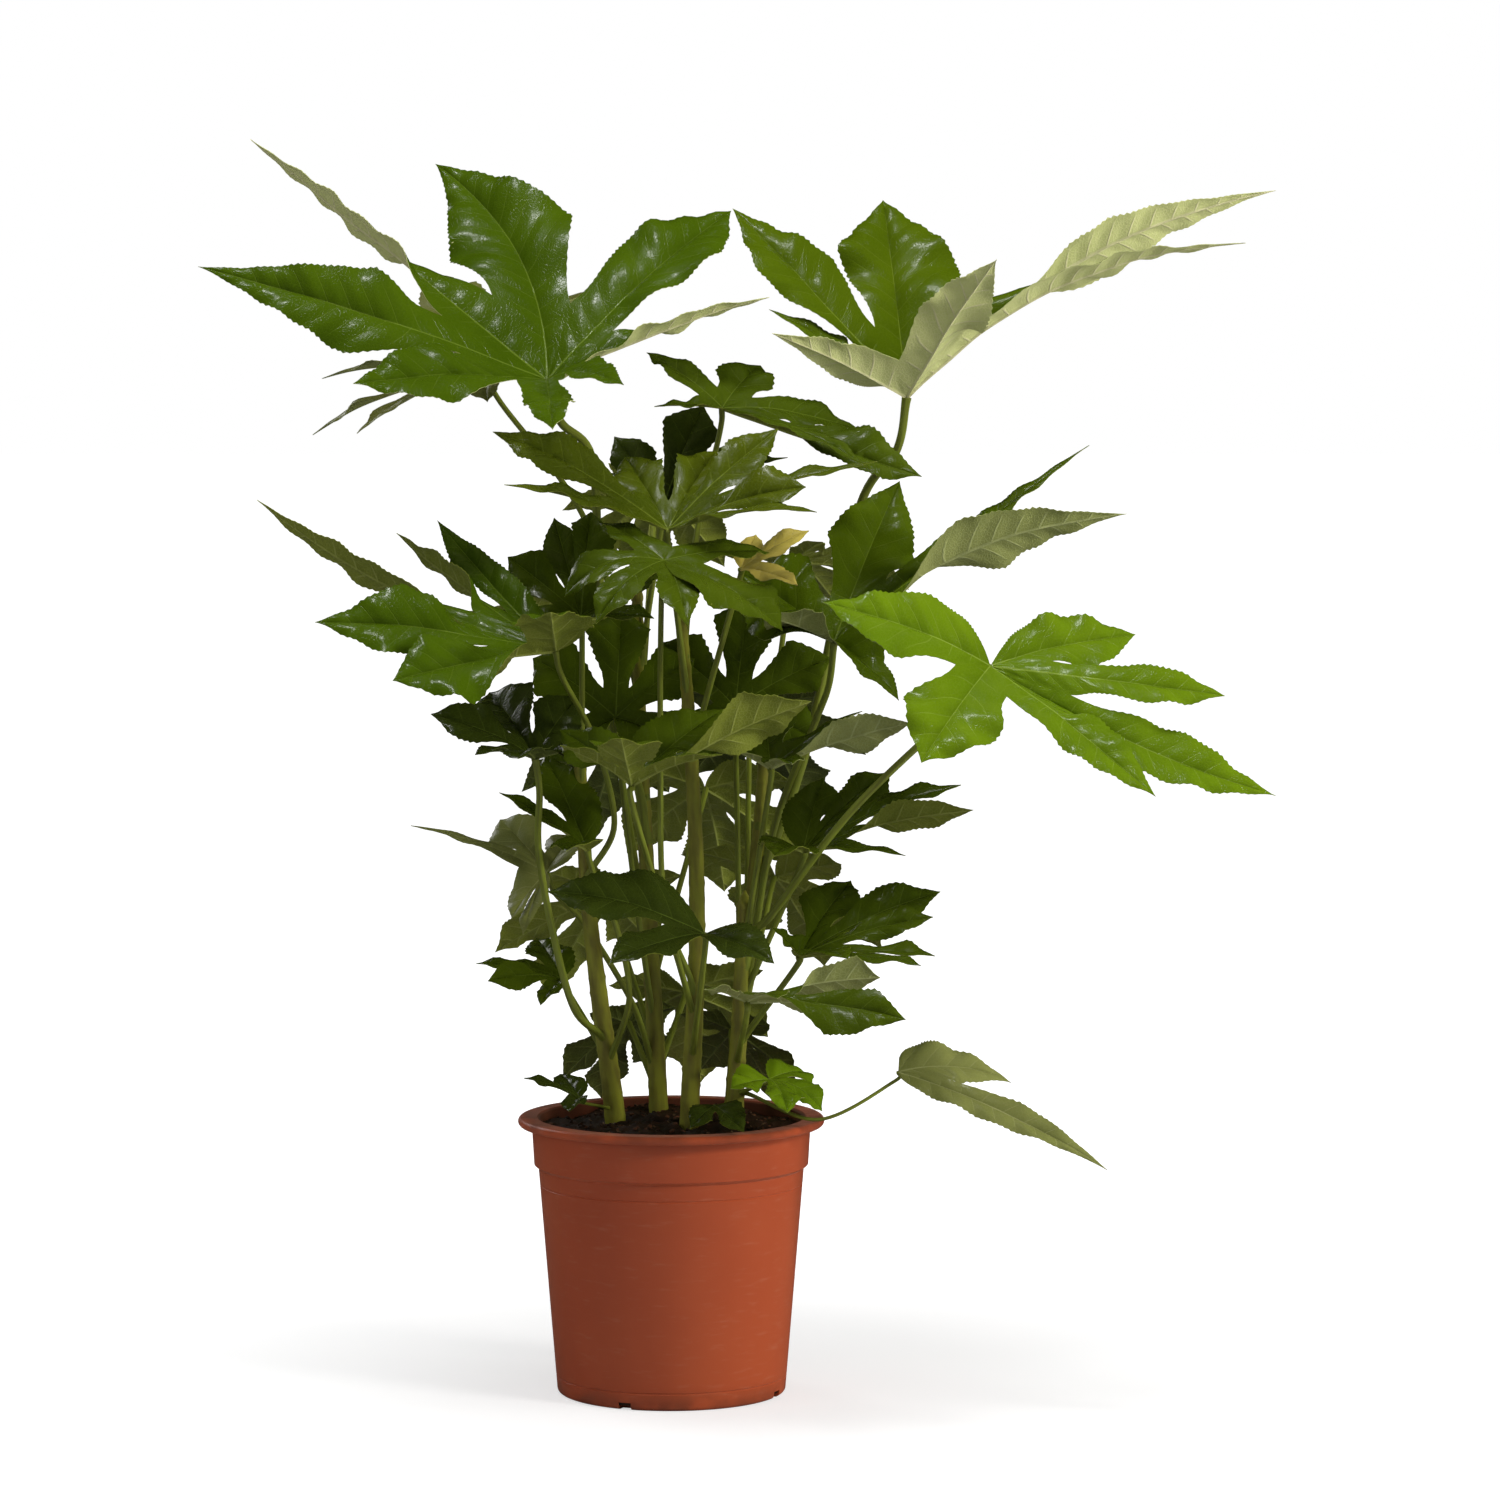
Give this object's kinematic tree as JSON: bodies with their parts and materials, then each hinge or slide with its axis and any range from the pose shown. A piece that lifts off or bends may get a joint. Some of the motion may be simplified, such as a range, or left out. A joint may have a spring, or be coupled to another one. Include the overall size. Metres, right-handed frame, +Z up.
{
  "type": "potted fatsia japonica",
  "caption": "Leafy potted shrub: large hand-shaped lobed leaves on long petioles from woody stems, in a round tapered nursery pot filled with soil.",
  "frame": {"origin": "middle of the flat bottom of the pot, on the surface that it stands on", "axes": "+Z up along the pot's axis; +X to the right and +Y away from the viewer of the picture"},
  "size_m": [0.7311, 0.4483, 0.8583],
  "materials": {
    "pot": "satin",
    "soil": "matte",
    "stem": "matte",
    "leaf": "satin",
    "leaf_young": "satin",
    "leaf_yellow": "satin"
  },
  "bodies": {
    "root": {"pot": "pot", "soil": "soil", "stem_left": "stem", "stem_centre": "stem", "stem_right": "stem", "stem_back": "stem", "stem_back_right": "stem", "leaf_top_left": "leaf", "leaf_top_left_back": "leaf", "leaf_top_right": "leaf", "leaf_crown_back": "leaf_young", "leaf_crown": "leaf_young", "leaf_crown_dark": "leaf", "leaf_middle_dark": "leaf", "leaf_middle_left": "leaf", "leaf_yellow": "leaf_yellow", "leaf_inner_left": "leaf", "leaf_inner_front": "leaf_young", "leaf_left": "leaf", "leaf_left_dark": "leaf", "leaf_front": "leaf", "leaf_right": "leaf", "leaf_right_bright": "leaf_young", "leaf_right_inner": "leaf", "leaf_right_middle": "leaf", "leaf_right_low": "leaf", "leaf_right_pale": "leaf", "leaf_far_right": "leaf_young", "leaf_low_left_high": "leaf", "leaf_low_left": "leaf", "leaf_low_left_small": "leaf", "leaf_front_dark": "leaf", "leaf_soil_left": "leaf", "leaf_soil_right": "leaf_young", "leaf_soil_front": "leaf", "leaf_back_left": "leaf", "leaf_back_right": "leaf", "leaf_back_high": "leaf", "leaf_back_right_middle": "leaf", "leaf_back_left_middle": "leaf", "leaf_back_middle": "leaf", "leaf_back_right_low": "leaf", "leaf_back_left_low": "leaf", "leaf_back_low": "leaf", "leaf_back_low_left": "leaf", "leaf_back_low_right": "leaf"}
  },
  "joints": []
}
